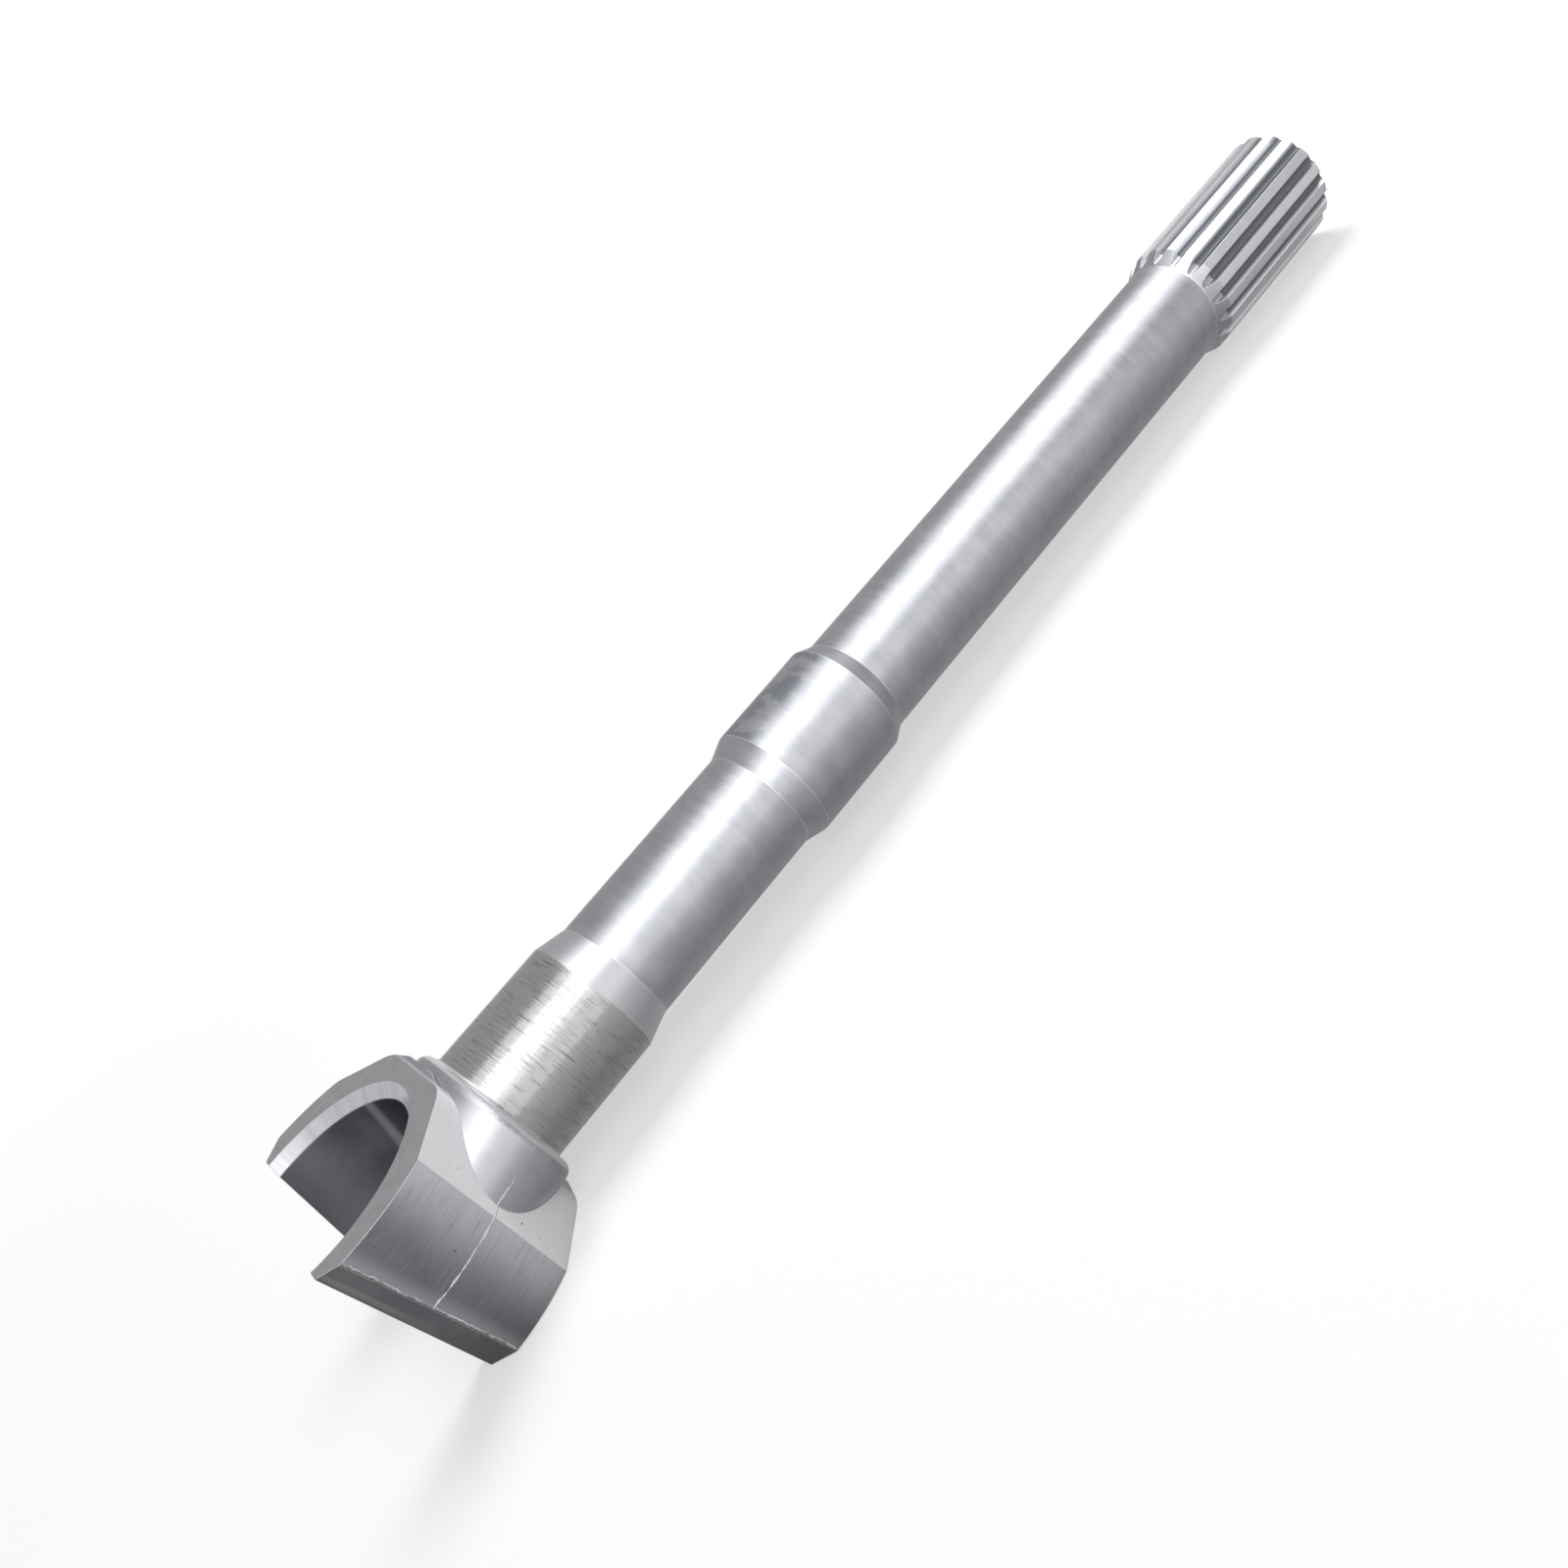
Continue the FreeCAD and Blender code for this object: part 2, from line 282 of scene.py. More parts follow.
class Nodes:
    """Short calls that add shader nodes to one tree and link them."""

    def __init__(self, tree):
        self.tree = tree

    def add(self, kind, **settings):
        """A new node with its settings."""
        node = self.tree.nodes.new(kind)
        for name, value in settings.items():
            setattr(node, name, value)
        return node

    def feed(self, socket, value):
        """Link the output of another node to a socket, or set the socket to a plain value."""
        if isinstance(value, bpy.types.NodeSocket):
            self.tree.links.new(value, socket)
        else:
            socket.default_value = value

    def math(self, operation, first, second=0.0):
        """One sum, with up to two inputs."""
        node = self.add("ShaderNodeMath", operation=operation)
        self.feed(node.inputs[0], first)
        self.feed(node.inputs[1], second)
        return node.outputs[0]

    def plus(self, first, second):
        """The sum of two values."""
        return self.math("ADD", first, second)

    def minus(self, first, second):
        """The first value less the second."""
        return self.math("SUBTRACT", first, second)

    def squared(self, value):
        """A value times itself."""
        return self.math("POWER", value, 2.0)

    def times(self, *values):
        """The product of all values."""
        result = values[0]
        for value in values[1:]:
            result = self.math("MULTIPLY", result, value)
        return result

    def most(self, *values):
        """The largest of all values."""
        result = values[0]
        for value in values[1:]:
            result = self.math("MAXIMUM", result, value)
        return result

    def off(self, mask):
        """One where the mask is zero, and zero where it is one."""
        return self.minus(1.0, mask)

    def ramp(self, value, low, high, start=0.0, end=1.0, kind="SMOOTHSTEP"):
        """A smooth change from start to end as value goes from low to high."""
        node = self.add("ShaderNodeMapRange", interpolation_type=kind)
        for index, item in enumerate((value, low, high, start, end)):
            self.feed(node.inputs[index], item)
        return node.outputs[0]

    def below(self, value, low, high):
        """One below low, zero above high."""
        return self.ramp(value, low, high, 1.0, 0.0)

    def between(self, value, low, high, soft):
        """One where value lies between low and high, zero outside."""
        return self.times(self.ramp(value, low - soft, low + soft),
                          self.below(value, high - soft, high + soft))

    def vector(self, x, y, z):
        """Three values as a vector."""
        node = self.add("ShaderNodeCombineXYZ")
        for index, item in enumerate((x, y, z)):
            self.feed(node.inputs[index], item)
        return node.outputs[0]

    def noise(self, vector, scale=1.0, detail=3.0, roughness=0.55):
        """A cloudy pattern between 0 and 1."""
        node = self.add("ShaderNodeTexNoise")
        self.feed(node.inputs["Vector"], vector)
        self.feed(node.inputs["Scale"], scale)
        self.feed(node.inputs["Detail"], detail)
        self.feed(node.inputs["Roughness"], roughness)
        return node.outputs[0]

    def mixed(self, kind, sockets, factor, first, second):
        """A mix node of one kind, with the places of its two inputs and its output."""
        node = self.add("ShaderNodeMix", data_type=kind)
        self.feed(node.inputs[0], factor)
        self.feed(node.inputs[sockets[0]], first)
        self.feed(node.inputs[sockets[1]], second)
        return node.outputs[sockets[2]]

    def blend(self, factor, first, second):
        """The first value, or the second where the factor is one."""
        return self.mixed("FLOAT", (2, 3, 0), factor, first, second)

    def mix_vector(self, factor, first, second):
        """The first vector, or the second where the factor is one."""
        return self.mixed("VECTOR", (4, 5, 1), factor, first, second)

    def mix(self, factor, first, second):
        """The first colour, or the second where the factor is one."""
        return self.mixed("RGBA", (6, 7, 2), factor, colour(first), colour(second))


def colour(value):
    """A colour of three parts as four, and anything else as it is."""
    if isinstance(value, tuple):
        return (*value, 1.0)
    return value


def specked(n, metal, specks, pattern):
    """A metal with the other colours that its patterns lay over it."""
    for name, low, high, share, shade in specks:
        metal = n.mix(n.ramp(pattern[name], low, high, end=share), metal, shade)
    return metal


def shaft_axis(mounts):
    """Start of the shaft's frame and its direction, from the journal's mount."""
    journal = mounts["bush_journal"]
    direction = Vector(journal["axis"]).normalized()
    half = journal["dims"]["length_mm"] * MM / 2
    return Vector(journal["pos_m"]) - direction * half, direction


def shaft_stations(mounts):
    """Where each zone of the shaft starts, in millimetres from the journal's fork side end."""
    stations = {"taper": mounts["bush_journal"]["dims"]["length_mm"]}
    stations["waist"] = stations["taper"] + JOURNAL_TAPER_MM
    stations["lead"] = stations["waist"] + WAIST_MM
    stations["collar"] = stations["lead"] + COLLAR_LEAD_MM
    stations["run_out"] = stations["collar"] + mounts["seal_collar"]["dims"]["length_mm"]
    stations["shaft"] = stations["run_out"] + RUN_OUT_MM
    stations["spline_lead"] = stations["shaft"] + SHAFT_MM
    stations["spline"] = stations["spline_lead"] + SPLINE_LEAD_MM
    stations["end"] = stations["spline"] + SPLINE_MM
    return stations


def cone_leans(mounts, stations):
    """Each cone's two ends and how far its normal leans along the axis."""
    journal_r = mounts["bush_journal"]["dims"]["r_mm"]
    collar_r = mounts["seal_collar"]["dims"]["r_mm"]
    falls = (("taper", "waist", journal_r - WAIST_R_MM),
             ("lead", "collar", WAIST_R_MM - collar_r),
             ("run_out", "shaft", collar_r - SHAFT_R_MM))
    return [(stations[first], stations[last], fall / (stations[last] - stations[first]))
            for first, last, fall in falls]


def shaft_coordinates(n, start, tilt):
    """The surface point in the shaft's frame, in millimetres, as a vector and three values."""
    mapping = n.add("ShaderNodeMapping", vector_type="TEXTURE")
    n.feed(mapping.inputs["Vector"], n.add("ShaderNodeTexCoord").outputs["Object"])
    n.feed(mapping.inputs["Location"], start)
    n.feed(mapping.inputs["Rotation"], (0.0, tilt, 0.0))
    n.feed(mapping.inputs["Scale"], (MM, MM, MM))
    split = n.add("ShaderNodeSeparateXYZ")
    n.feed(split.inputs[0], mapping.outputs[0])
    return mapping.outputs[0], split.outputs[0], split.outputs[1], split.outputs[2]


def noise_patterns(n, point, place):
    """The noise patterns that the looks share, by name."""
    pattern = {name: n.noise(point, scale=per_mm, detail=EVEN_DETAIL)
               for name, per_mm in EVEN_PATTERNS.items()}
    for name, (per_mm, detail, roughness) in DRAWN_PATTERNS.items():
        drawn = n.vector(*(n.times(value, rate) for value, rate in zip(place, per_mm)))
        pattern[name] = n.noise(drawn, detail=detail, roughness=roughness)
    return pattern


def world_normal(n, along, v, w, tilt):
    """A direction given in the shaft's frame, turned into the world and one long."""
    mapping = n.add("ShaderNodeMapping", vector_type="VECTOR")
    n.feed(mapping.inputs["Vector"], n.vector(along, v, w))
    n.feed(mapping.inputs["Rotation"], (0.0, tilt, 0.0))
    turned = n.add("ShaderNodeVectorTransform", vector_type="NORMAL", convert_from="OBJECT",
                   convert_to="WORLD")
    n.feed(turned.inputs[0], mapping.outputs[0])
    unit = n.add("ShaderNodeVectorMath", operation="NORMALIZE")
    n.feed(unit.inputs[0], turned.outputs[0])
    return unit.outputs[0]


def turned_normal(n, place, rho, tilt, cones):
    """The normal of the turned lengths, free of the flats and the seam of their mesh."""
    u, v, w = place
    lean = 0.0
    for first, last, slope in cones:
        lean = n.plus(lean, n.times(n.between(u, first, last, CONE_SOFT_MM), slope))
    return world_normal(n, n.times(lean, rho), v, w, tilt)


def boss_normal(n, place, tilt, zones):
    """The normal of the tapered oval boss, square to its oval and leaning by its draft."""
    v, w = place[1:]
    length = BOSS_SPAN_MM[1] - BOSS_SPAN_MM[0]
    height_draft = (BOSS_HALF_HEIGHT_MM[0] - BOSS_HALF_HEIGHT_MM[1]) / length
    width_draft = (BOSS_HALF_WIDTH_MM[0] - BOSS_HALF_WIDTH_MM[1]) / length
    across = n.math("DIVIDE", w, n.squared(zones["oval_width"]))
    upward = n.math("DIVIDE", v, n.squared(zones["oval_height"]))
    lean_w = n.math("DIVIDE", n.times(w, across, width_draft), zones["oval_width"])
    lean_v = n.math("DIVIDE", n.times(v, upward, height_draft), zones["oval_height"])
    return world_normal(n, n.plus(lean_w, lean_v), upward, across, tilt)


def distance(n, first, second):
    """The length of two values square to each other."""
    return n.math("SQRT", n.plus(n.squared(first), n.squared(second)))


def slot_zones(n, place, slot_u, slot_r):
    """Masks of what is milled on the fork: its end faces, the bore and the chamfers."""
    u, v, w = place
    fork = n.below(u, *FORK_END_MM)
    width = n.math("ABSOLUTE", w)
    from_slot = n.minus(u, slot_u)
    slot_rho = distance(n, from_slot, v)
    face_start, face_full = (FORK_HALF_WIDTH_MM - depth for depth in FACE_SKIN_MM)
    face = n.times(fork, n.ramp(width, face_start, face_full))
    bore = n.times(fork, n.below(slot_rho, slot_r + SKIN_MM, slot_r + 2.5 * SKIN_MM))
    chamfer_start = FORK_HALF_WIDTH_MM - SLOT_CHAMFER_MM
    chamfer_r = slot_r + SLOT_CHAMFER_MM
    chamfer = n.times(fork, n.off(face),
                      n.ramp(width, chamfer_start, chamfer_start + SKIN_MM),
                      n.ramp(slot_rho, slot_r + SKIN_MM, slot_r + 2 * SKIN_MM),
                      n.below(slot_rho, chamfer_r + SKIN_MM, chamfer_r + 3 * SKIN_MM))
    outside = n.times(n.off(face), n.off(n.most(bore, chamfer)))
    return {"fork": fork, "face": face, "bore": bore, "chamfer": chamfer, "outside": outside,
            "from_slot": from_slot}


def boss_zones(n, place, slot):
    """Masks of the boss, the facets beside it and the seam between the two."""
    u, v, w = place
    behind = n.ramp(slot["from_slot"], CHEEK_END_FROM_SLOT_MM - SKIN_MM,
                    CHEEK_END_FROM_SLOT_MM + 3 * SKIN_MM)
    skin = n.times(slot["outside"], behind)
    oval_height = n.ramp(u, *BOSS_SPAN_MM, *BOSS_HALF_HEIGHT_MM, kind="LINEAR")
    oval_width = n.ramp(u, *BOSS_SPAN_MM, *BOSS_HALF_WIDTH_MM, kind="LINEAR")
    oval = n.plus(n.squared(n.math("DIVIDE", w, oval_width)),
                  n.squared(n.math("DIVIDE", v, oval_height)))
    boss_end = BOSS_SPAN_MM[1]
    boss = n.times(skin, n.below(oval, *BOSS_OVAL),
                   n.below(u, boss_end, boss_end + BOSS_END_SOFT_MM))
    side = n.below(u, BOSS_EDGE_START_MM - BOSS_EDGE_SOFT_MM, BOSS_EDGE_START_MM)
    return {"boss": boss, "boss_side": n.times(boss, side),
            # A painted highlight along the upper part of the crease between the boss and the
            # facet
            "crest": n.times(skin, n.between(oval, *CREASE_HIGHLIGHT_OVAL, CREASE_HIGHLIGHT_OVAL_SOFT),
                             n.ramp(w, *CREASE_HIGHLIGHT_W_MM)),
            "seam": n.times(skin, n.between(oval, *SEAM_OVAL, SEAM_OVAL_SOFT)),
            "facet": n.times(skin, slot["fork"], n.off(boss)),
            "oval_height": oval_height, "oval_width": oval_width}


def bevel_zones(n, place, slot, slot_u, jag):
    """The dark bevel outside each horn, with a ragged bright line and a painted sheen on the
    cheek along it.
    """
    u, v, w = place
    skew = n.times(w, n.math("SIGN", v), HORN_SKEW_MM / (2 * FORK_HALF_WIDTH_MM))
    from_tip = n.minus(u, n.plus(skew, slot_u - HORN_REACH_MM))
    angle = math.radians(HORN_BEVEL_DEG)
    border = n.plus(n.times(from_tip, math.tan(angle)), HORN_TIP_HALF_HEIGHT_MM)
    inside = n.times(n.minus(n.math("ABSOLUTE", v), border), math.cos(angle))
    ragged = n.plus(inside, n.times(n.minus(jag, NOISE_MIDDLE), BEVEL_JAG_MM))
    skin = n.times(slot["fork"], slot["outside"])
    bevel = n.times(skin, n.ramp(ragged, *BEVEL_BORDER_MM))
    return {"bevel": bevel,
            "bevel_line": n.times(skin, n.between(ragged, *BEVEL_LINE_MM, BEVEL_LINE_SOFT_MM)),
            # A painted sheen on the cheek just inside the bevel's border
            "bevel_glow": n.times(skin, n.ramp(inside, *BEVEL_PAINTED_SHEEN_MM), n.off(bevel)),
            "bevel_streak": n.times(bevel, n.ramp(w, *BEVEL_STREAK_W_MM),
                                    n.between(from_tip, *BEVEL_STREAK_MM, BEVEL_STREAK_SOFT_MM))}


def flash_line(n, place, jag, zones):
    """The trimmed flash of the forging, along the middle of the cheeks and the boss."""
    u, w = place[0], place[2]
    drift = n.noise(n.vector(n.times(u, FLASH_WANDER_PER_MM), 0.0, 0.0))
    wander = n.times(n.minus(drift, NOISE_MIDDLE), FLASH_WANDER_MM)
    from_line = n.math("ABSOLUTE", n.plus(w, wander))
    thick = n.noise(n.vector(n.times(u, FLASH_THICK_PER_MM), 0.0, FLASH_THICK_ROW))
    edge = n.plus(n.times(n.minus(thick, FLASH_THICK_FROM), FLASH_THICK_MM),
                  n.times(jag, FLASH_JAG_MM))
    return n.times(n.below(n.minus(from_line, edge), 0.0, FLASH_SOFT_MM),
                   n.below(u, *FLASH_FADE_MM), zones["outside"], n.off(zones["bevel"]))


def turned_zones(n, u, rho, stations, pattern):
    """Masks of the turned and ground bands, the ridges between them and the spline."""
    journal = n.between(u, JOURNAL_START_MM, stations["taper"], BAND_SOFT_MM)
    spline = n.ramp(u, stations["spline"] - SPLINE_SOFT_MM, stations["spline"] + SPLINE_SOFT_MM)
    ridges = [n.between(u, stations[name] - RIDGE_HALF_MM, stations[name] + RIDGE_HALF_MM,
                        RIDGE_SOFT_MM) for name in RIDGES]
    tip_start, tip_full = (stations["end"] - depth for depth in TIP_END_MM)
    return {"journal": journal,
            "shaft": n.ramp(u, *FORK_END_MM),
            "taper": n.between(u, stations["taper"], stations["waist"], BAND_SOFT_MM),
            "collar": n.between(u, stations["collar"], stations["run_out"], BAND_SOFT_MM),
            "spline": spline,
            "gap": n.times(spline, n.below(rho, *GAP_WALL_R_MM)),
            "tip_end": n.ramp(u, tip_start, tip_full),
            "ridge": n.most(*ridges),
            "scratch": n.times(journal, n.ramp(pattern["grind"], *SCRATCH_GRIND),
                               n.ramp(pattern["mottle"], *SCRATCH_MOTTLE)),
            # A painted highlight on the fillet at the boss's end
            "boss_ring": n.times(n.between(u, *BOSS_FILLET_HIGHLIGHT_MM, BOSS_FILLET_HIGHLIGHT_SOFT_MM),
                                 BOSS_FILLET_HIGHLIGHT_SHARE)}


def pit_zone(n, point, pattern, zones):
    """Pits on the forged skin."""
    cells = n.add("ShaderNodeTexVoronoi")
    n.feed(cells.inputs["Vector"], point)
    n.feed(cells.inputs["Scale"], PITS_PER_MM)
    return n.times(zones["outside"], zones["fork"], n.ramp(pattern["cloud"], *PIT_CLOUD),
                   n.below(cells.outputs["Distance"], *PIT_SIZE))


def edge_normals(n):
    """A normal rounded over the edges, the plain one, and a mask of where the two differ."""
    rounded = n.add("ShaderNodeBevel", samples=EDGE_SAMPLES)
    n.feed(rounded.inputs["Radius"], EDGE_RADIUS)
    plain = n.add("ShaderNodeNewGeometry").outputs["Normal"]
    turn = n.add("ShaderNodeVectorMath", operation="DOT_PRODUCT")
    n.feed(turn.inputs[0], rounded.outputs[0])
    n.feed(turn.inputs[1], plain)
    return rounded.outputs[0], plain, n.below(turn.outputs["Value"], *EDGE_TURN)


def cheek_tint(n, pattern, zones):
    """The forged cheek, brushed, with painted light towards its end and a painted sheen along
    the bevel.
    """
    cheek = specked(n, CHEEK_STEEL, CHEEK_SPECKS, pattern)
    # Painted light: the cheek turns lighter towards its end
    cheek_painted_light = n.ramp(zones["from_slot"], *CHEEK_PAINTED_LIGHT_FROM_SLOT_MM)
    cheek = specked(n, n.mix(cheek_painted_light, cheek, CHEEK_PAINTED_LIGHT_STEEL), BRUSH_SPECKS, pattern)
    # A painted sheen along the bevel
    return n.mix(n.times(zones["bevel_glow"], BEVEL_PAINTED_SHEEN_SHARE), cheek, BEVEL_PAINTED_SHEEN_STEEL)


def journal_tint(n, pattern, zones):
    """The ground journal with its fine dark marks."""
    ground = specked(n, JOURNAL_STEEL, JOURNAL_SPECKS, pattern)
    return n.mix(n.times(zones["scratch"], SCRATCH_SHARE), ground, SCRATCH_STEEL)


def bore_tint(n, w, around, pattern):
    """The bore of the slot, with painted shade at its back, painted light at the tips and one
    slanting painted reflection.
    """
    from_back = n.math("ABSOLUTE", around)
    # A slanting streak of painted reflection
    slanted = n.plus(from_back, n.times(w, BORE_PAINTED_REFLECTION_RAD_PER_MM))
    streak = n.between(slanted, *BORE_PAINTED_REFLECTION_RAD, BORE_PAINTED_REFLECTION_SOFT_RAD)
    bore = specked(n, BORE_STEEL, BORE_SPECKS, pattern)
    # Painted shade at the back of the bore, then painted light at its tips
    bore = n.mix(n.times(n.below(from_back, *BORE_PAINTED_SHADE_RAD), BORE_PAINTED_SHADE_AND_LIGHT_SHARE), bore,
                 BORE_PAINTED_SHADE_STEEL)
    bore = n.mix(n.times(n.ramp(from_back, *BORE_PAINTED_LIGHT_RAD), BORE_PAINTED_SHADE_AND_LIGHT_SHARE), bore,
                 BORE_PAINTED_LIGHT_STEEL)
    return n.mix(n.times(streak, BORE_PAINTED_REFLECTION_SHARE), bore, BORE_PAINTED_REFLECTION_STEEL)


def chamfer_tint(n, around):
    """The chamfer of the slot, in bands square to its edge."""
    bands = n.noise(n.vector(n.times(around, CHAMFER_BANDS_PER_RAD), 0.0, 0.0))
    return n.mix(n.ramp(bands, *CHAMFER_BANDS), CHAMFER_STEEL, CHAMFER_BAND_STEEL)


def bevel_tint(n, pattern, zones):
    """The scale left on the bevel, with a paler streak."""
    scale = specked(n, BEVEL_STEEL, BEVEL_SPECKS, pattern)
    return n.mix(n.times(zones["bevel_streak"], BEVEL_STREAK_SHARE), scale, BEVEL_STREAK_STEEL)


def steel_tint(n, place, pattern, zones):
    """The colour of every zone, each laid over those before it."""
    v, w = place[1:]
    around = n.math("ARCTAN2", v, zones["from_slot"])
    stain = n.times(zones["collar"], n.ramp(v, *STAIN_V_MM),
                    n.ramp(pattern["blotch"], *STAIN_BLOTCH))
    bevel_line = n.times(zones["bevel_line"], n.ramp(pattern["mottle"], *BEVEL_LINE_MOTTLE))
    layers = (
        (n.times(stain, STAIN_SHARE), STAIN_STEEL),
        (zones["fork"], cheek_tint(n, pattern, zones)),
        (zones["facet"], specked(n, FACET_STEEL, FACET_SPECKS, pattern)),
        (zones["boss"], specked(n, BOSS_STEEL, BOSS_SPECKS, pattern)),
        (zones["pit"], PIT_STEEL),
        (zones["journal"], journal_tint(n, pattern, zones)),
        # Painted highlight on the fillet at the boss's end
        (zones["boss_ring"], BRIGHT_STEEL),
        (zones["taper"], TAPER_STEEL),
        # Spline lands painted lighter, and gap floors painted darker as shade
        (zones["spline"], LAND_PAINTED_LIGHT_STEEL),
        (zones["gap"], GAP_PAINTED_SHADE_STEEL),
        (n.times(zones["ridge"], RIDGE_SHARE), BRIGHT_STEEL),
        (n.times(zones["tip_end"], TIP_END_SHARE), TIP_END_STEEL),
        (zones["face"], specked(n, FACE_STEEL, FACE_SPECKS, pattern)),
        (zones["bore"], bore_tint(n, w, around, pattern)),
        (zones["chamfer"], chamfer_tint(n, around)),
        (zones["bevel"], bevel_tint(n, pattern, zones)),
        (bevel_line, BRIGHT_STEEL),
        (zones["flash"], BRIGHT_STEEL),
        # Worn edges and the crease between boss and facet, painted bright as highlights
        (n.most(zones["polished"], zones["crest"]), BRIGHT_STEEL),
    )
    tint = specked(n, STEEL, STEEL_SPECKS, pattern)
    for mask, shade in layers:
        tint = n.mix(mask, tint, shade)
    return tint


def layered(n, value, zones, layers):
    """A value with those of some zones laid over it, in their order."""
    for name, other in layers:
        value = n.blend(zones[name], value, other)
    return value


def steel_roughness(n, pattern, zones):
    """The roughness of every zone."""
    rough = n.ramp(pattern["wide_rings"], *WIDE_CHANGE, *STEEL_ROUGHNESS)
    return layered(n, rough, zones, (
        ("fork", n.ramp(pattern["grain"], *WIDE_CHANGE, *CHEEK_ROUGHNESS)),
        ("facet", FACET_ROUGHNESS),
        ("boss", BOSS_ROUGHNESS),
        ("journal", n.ramp(pattern["rings"], *RING_CHANGE, *JOURNAL_ROUGHNESS)),
        ("gap", GAP_ROUGHNESS),
        ("face", FACE_ROUGHNESS),
        ("bore", BORE_ROUGHNESS),
        ("chamfer", CHAMFER_ROUGHNESS),
        ("bevel", BEVEL_ROUGHNESS)))


def steel_metal(n, zones):
    """The share of metal of every zone."""
    # Less metal on the fillet at the boss's end, for its painted highlight
    metal = n.blend(zones["boss_ring"], 1.0, BOSS_FILLET_HIGHLIGHT_METAL)
    metal = layered(n, metal, zones, (
        ("journal", JOURNAL_METAL), ("facet", FACET_METAL), ("chamfer", CHAMFER_METAL)))
    # Worn edges and the painted highlight on the crease have less metal, as do the flash and the
    # bevel line
    bright = n.most(zones["polished"], zones["flash"], zones["bevel_line"], zones["crest"])
    return n.blend(bright, metal, EDGE_METAL)


def steel_relief(n, pattern, zones):
    """The height of the surface: turning rings, brush marks, grain, pits and raised lines."""
    fork = zones["fork"]
    ring_height = n.blend(zones["journal"], n.times(zones["shaft"], RING_HEIGHT),
                          JOURNAL_RING_HEIGHT)
    relief = n.times(pattern["rings"], ring_height)
    relief = n.minus(relief, n.times(zones["scratch"], SCRATCH_DEPTH))
    relief = n.plus(relief, n.times(pattern["brushed"], fork, BRUSH_HEIGHT))
    relief = n.plus(relief, n.times(pattern["grain"], fork, GRAIN_HEIGHT))
    relief = n.minus(relief, n.times(zones["pit"], PIT_DEPTH))
    relief = n.plus(relief, n.times(zones["flash"], FLASH_HEIGHT))
    return n.plus(relief, n.times(zones["bevel_line"], BEVEL_LINE_HEIGHT))


def bumped(n, normal, relief):
    """A normal with the relief on it."""
    bump = n.add("ShaderNodeBump")
    n.feed(bump.inputs["Strength"], 1.0)
    n.feed(bump.inputs["Distance"], 1.0)
    n.feed(bump.inputs["Height"], relief)
    n.feed(bump.inputs["Normal"], normal)
    return bump.outputs[0]


def empty_tree(owner):
    """The node tree of a material or a world, with nothing in it."""
    owner.use_nodes = True
    owner.node_tree.nodes.clear()
    return Nodes(owner.node_tree)


def steel_material(start, tilt, stations, cones, slot_u, slot_r):
    """Forged, milled, turned and ground zones of one piece of steel."""
    material = bpy.data.materials.new("worked_steel")
    n = empty_tree(material)
    point, *place = shaft_coordinates(n, start, tilt)
    u, v, w = place
    rho = distance(n, v, w)
    pattern = noise_patterns(n, point, place)

    zones = slot_zones(n, place, slot_u, slot_r)
    zones.update(boss_zones(n, place, zones))
    zones.update(bevel_zones(n, place, zones, slot_u, pattern["jag"]))
    zones.update(turned_zones(n, u, rho, stations, pattern))
    zones["flash"] = flash_line(n, place, pattern["jag"], zones)
    zones["pit"] = pit_zone(n, point, pattern, zones)
    rounded, plain, edge = edge_normals(n)
    # Edges worn bright and painted lighter as edge highlights
    zones["polished"] = n.times(edge, n.ramp(pattern["mottle"], *EDGE_WEAR_AND_HIGHLIGHT_MOTTLE),
                                n.off(zones["gap"]), n.off(zones["seam"]))

    # Rounded edges, but a sharp inner corner round the boss, and true curves on turned lengths
    normal = n.mix_vector(zones["seam"], rounded, plain)
    normal = n.mix_vector(zones["boss_side"], normal, boss_normal(n, place, tilt, zones))
    on_turned = n.between(u, 0.0, stations["spline_lead"], SKIN_MM)
    normal = n.mix_vector(on_turned, normal, turned_normal(n, place, rho, tilt, cones))

    shader = n.add("ShaderNodeBsdfPrincipled")
    n.feed(shader.inputs["Metallic"], steel_metal(n, zones))
    n.feed(shader.inputs["Base Color"], steel_tint(n, place, pattern, zones))
    n.feed(shader.inputs["Roughness"], steel_roughness(n, pattern, zones))
    n.feed(shader.inputs["Normal"], bumped(n, normal, steel_relief(n, pattern, zones)))
    n.feed(n.add("ShaderNodeOutputMaterial").inputs[0], shader.outputs[0])
    return material


def seen_directly(n):
    """One for camera and transmission rays, and one for glossy rays."""
    path = n.add("ShaderNodeLightPath")
    plain = n.most(path.outputs["Is Camera Ray"], path.outputs["Is Transmission Ray"])
    return plain, path.outputs["Is Glossy Ray"]


def floor_glow(n, plain, in_metal):
    """How much the floor glows: more where the lamps reach less, and darker in the metal."""
    place = n.add("ShaderNodeTexCoord").outputs["Object"]
    from_middle = n.add("ShaderNodeVectorMath", operation="LENGTH")
    n.feed(from_middle.inputs[0], place)
    split = n.add("ShaderNodeSeparateXYZ")
    n.feed(split.inputs[0], place)
    from_axis = n.math("ABSOLUTE", split.outputs[1])
    glow = n.ramp(from_middle.outputs["Value"], *FLOOR_GLOW_REACH, FLOOR_GLOW, 1.0)

    # The change is smooth on both sides of the axis, so it starts below what it has there
    near, far = FLOOR_IN_METAL_GLOW
    metal_glow = n.ramp(from_axis, -FLOOR_IN_METAL_REACH, FLOOR_IN_METAL_REACH,
                        2.0 * near - far, far)
    under = n.ramp(from_axis, 0.0, FLOOR_UNDER_REACH, FLOOR_UNDER_GLOW, 0.0)
    return n.plus(n.times(plain, glow), n.times(in_metal, n.plus(metal_glow, under)))


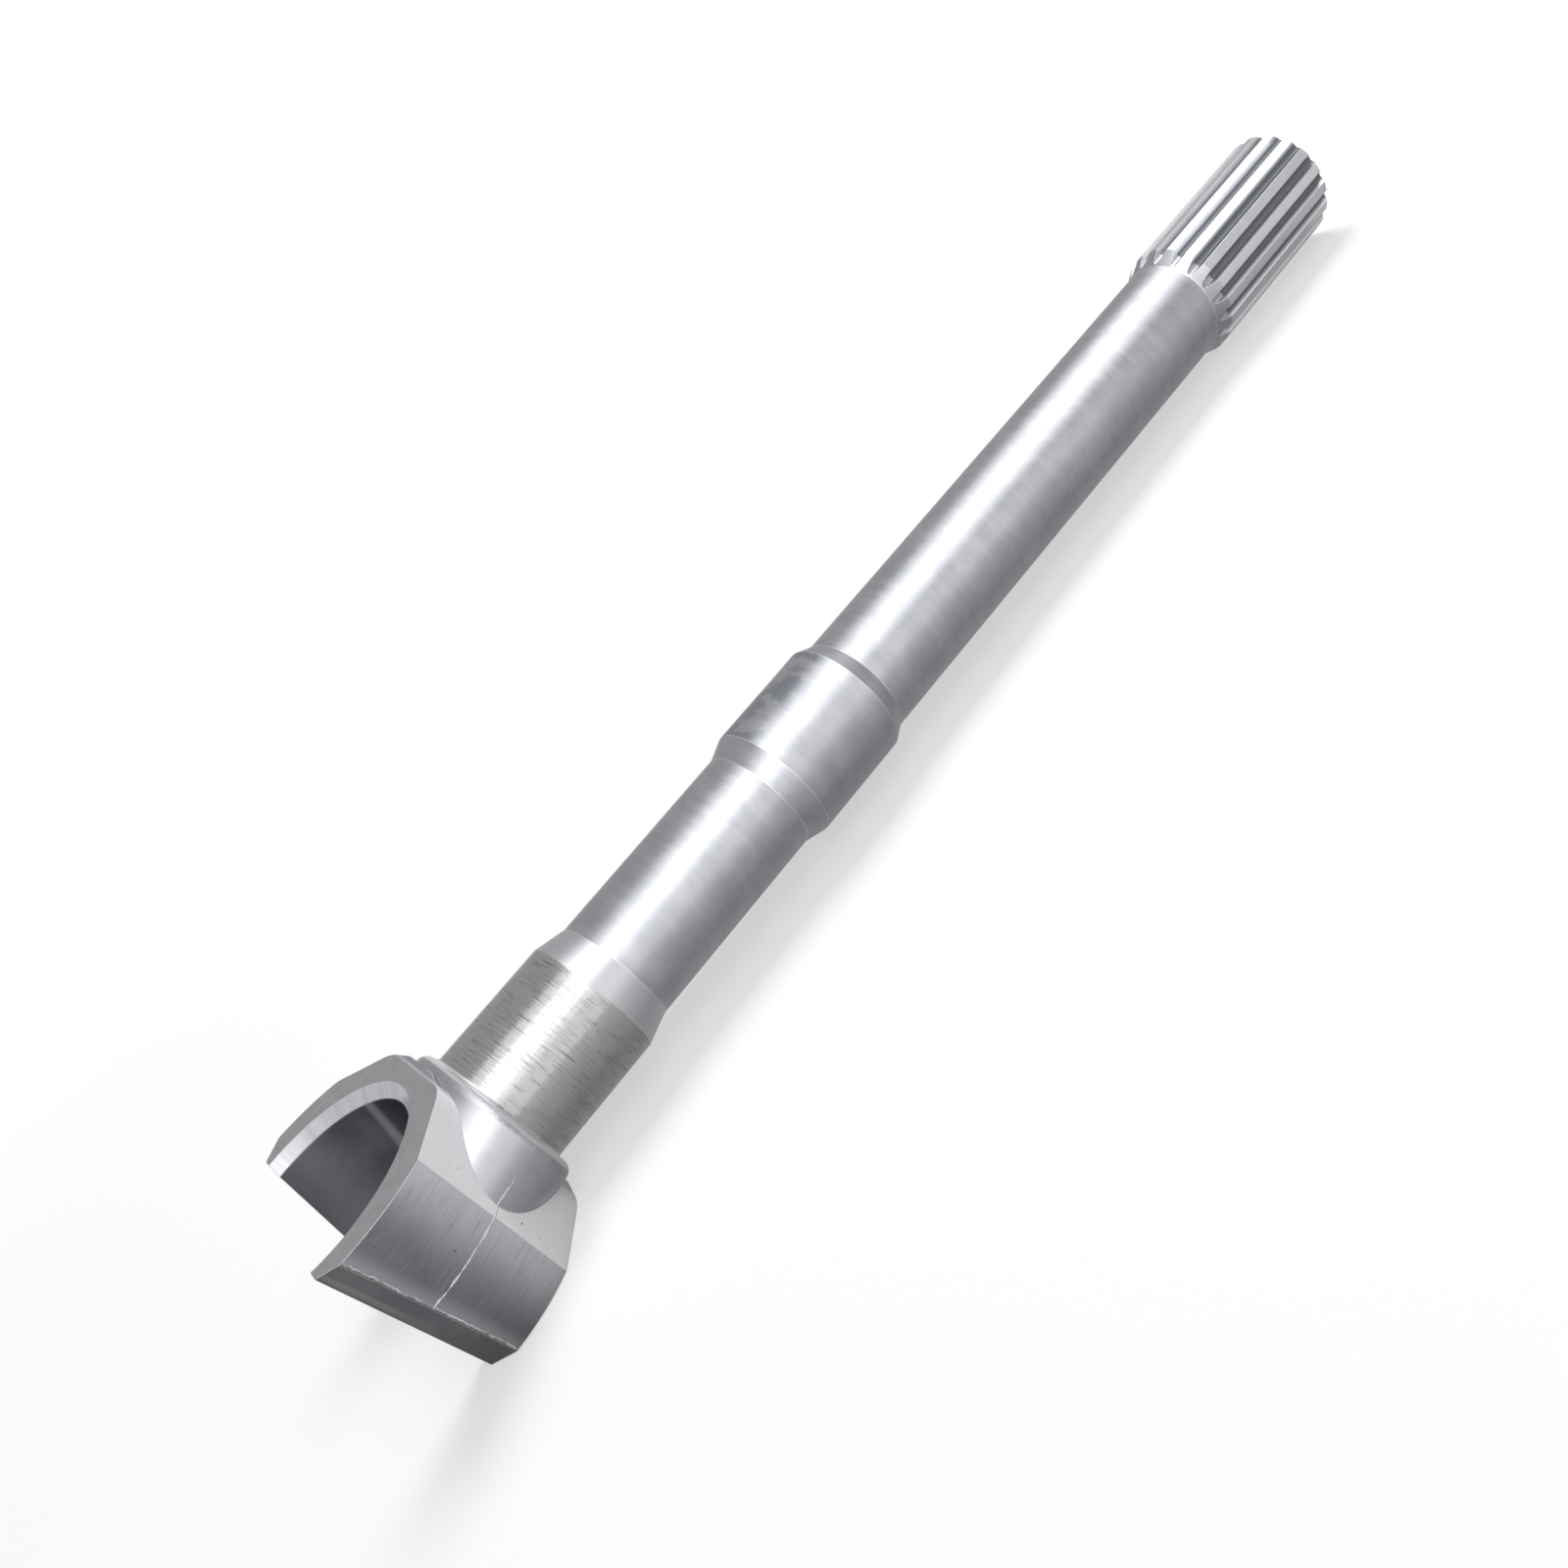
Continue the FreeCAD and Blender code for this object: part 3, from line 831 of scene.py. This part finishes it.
def floor():
    """White floor that keeps a soft shadow."""
    bpy.ops.mesh.primitive_plane_add(size=FLOOR_SIZE, location=(0, 0, 0))
    plane = bpy.context.object
    plane.name = "floor"
    material = bpy.data.materials.new("white_floor")
    material.cycles.emission_sampling = "NONE"
    n = empty_tree(material)
    plain, in_metal = seen_directly(n)
    diffuse = n.add("ShaderNodeBsdfDiffuse")
    n.feed(diffuse.inputs[0], n.blend(in_metal, FLOOR_GREY, FLOOR_IN_METAL_GREY))
    glow = n.add("ShaderNodeEmission")
    n.feed(glow.inputs["Strength"], floor_glow(n, plain, in_metal))
    total = n.add("ShaderNodeAddShader")
    n.feed(total.inputs[0], diffuse.outputs[0])
    n.feed(total.inputs[1], glow.outputs[0])
    n.feed(n.add("ShaderNodeOutputMaterial").inputs[0], total.outputs[0])
    plane.data.materials.append(material)


def world():
    """White where the camera looks, a plain grey room for light and reflections."""
    room = bpy.data.worlds.new("room")
    room.cycles.sampling_method = "NONE"
    bpy.context.scene.world = room
    n = empty_tree(room)
    plain, in_metal = seen_directly(n)
    background = n.add("ShaderNodeBackground")
    n.feed(background.inputs["Color"], colour(WHITE))
    n.feed(background.inputs["Strength"],
           n.blend(plain, n.blend(in_metal, ROOM_LIGHT, ROOM_IN_METAL), 1.0))
    n.feed(n.add("ShaderNodeOutputWorld").inputs[0], background.outputs[0])


def softbox(name, place, turn_deg, size, radiance, in_metal=True, on_floor=True):
    """A rectangular lamp that faces down until it is turned, of a given radiance."""
    data = bpy.data.lights.new(name, "AREA")
    data.shape = "RECTANGLE"
    data.size, data.size_y = size
    data.energy = radiance * math.pi * size[0] * size[1]
    lamp = bpy.data.objects.new(name, data)
    bpy.context.scene.collection.objects.link(lamp)
    lamp.location = place
    lamp.rotation_euler = [math.radians(turn) for turn in turn_deg]
    lamp.visible_camera = False
    lamp.visible_glossy = in_metal
    lamp.visible_diffuse = on_floor


def lamps():
    """Two wide lamps along the shaft, one in front, a narrow strip and one for the shadow."""
    softbox("overhead", place=(0.35, -0.99, 1.60), turn_deg=(0.0, 0.0, 32.0),
            size=(5.0, 1.25), radiance=0.95)
    softbox("overhead_rim", place=(0.35, -1.12, 1.62), turn_deg=(0.0, 0.0, 32.0),
            size=(5.0, 2.3), radiance=0.72, on_floor=False)
    softbox("front", place=(-0.20, -2.30, 0.75), turn_deg=(80.0, 0.0, 0.0),
            size=(4.5, 1.5), radiance=0.60)
    softbox("strip", place=(-0.20, -1.15, 1.58), turn_deg=(0.0, 0.0, 20.0),
            size=(0.6, 0.05), radiance=18.0, on_floor=False)
    softbox("shadow_maker", place=(0.80, 0.75, 1.85), turn_deg=(-21.5, 22.0, 0.0),
            size=(1.5, 0.9), radiance=10.5, in_metal=False)


def camera():
    """The camera that took the photograph."""
    data = bpy.data.cameras.new("photo_camera")
    data.sensor_fit = "HORIZONTAL"
    data.sensor_width = CAMERA_SENSOR_MM
    data.lens = CAMERA_LENS_MM
    data.shift_x, data.shift_y = CAMERA_SHIFT
    data.clip_start = CAMERA_CLIP_START
    eye = bpy.data.objects.new("photo_camera", data)
    bpy.context.scene.collection.objects.link(eye)
    eye.location = CAMERA_PLACE
    eye.rotation_euler = Euler([math.radians(turn) for turn in CAMERA_TURN_DEG], "XYZ")
    bpy.context.scene.camera = eye


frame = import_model()
mounts = {mount["name"]: mount for mount in frame["record"]["mounts"]}
start, direction = shaft_axis(mounts)
tilt = math.asin(-direction.z)
stations = shaft_stations(mounts)
cones = cone_leans(mounts, stations)
slot = mounts["fork_slot"]
slot_u = (Vector(slot["pos_m"]) - start).dot(direction) / MM

steel = steel_material(start, tilt, stations, cones, slot_u, slot["dims"]["r_mm"])
for material_slot in frame["nodes"]["axle_shaft"].material_slots:
    material_slot.material = steel

floor()
world()
lamps()
camera()
bpy.context.scene.view_settings.view_transform = "Standard"
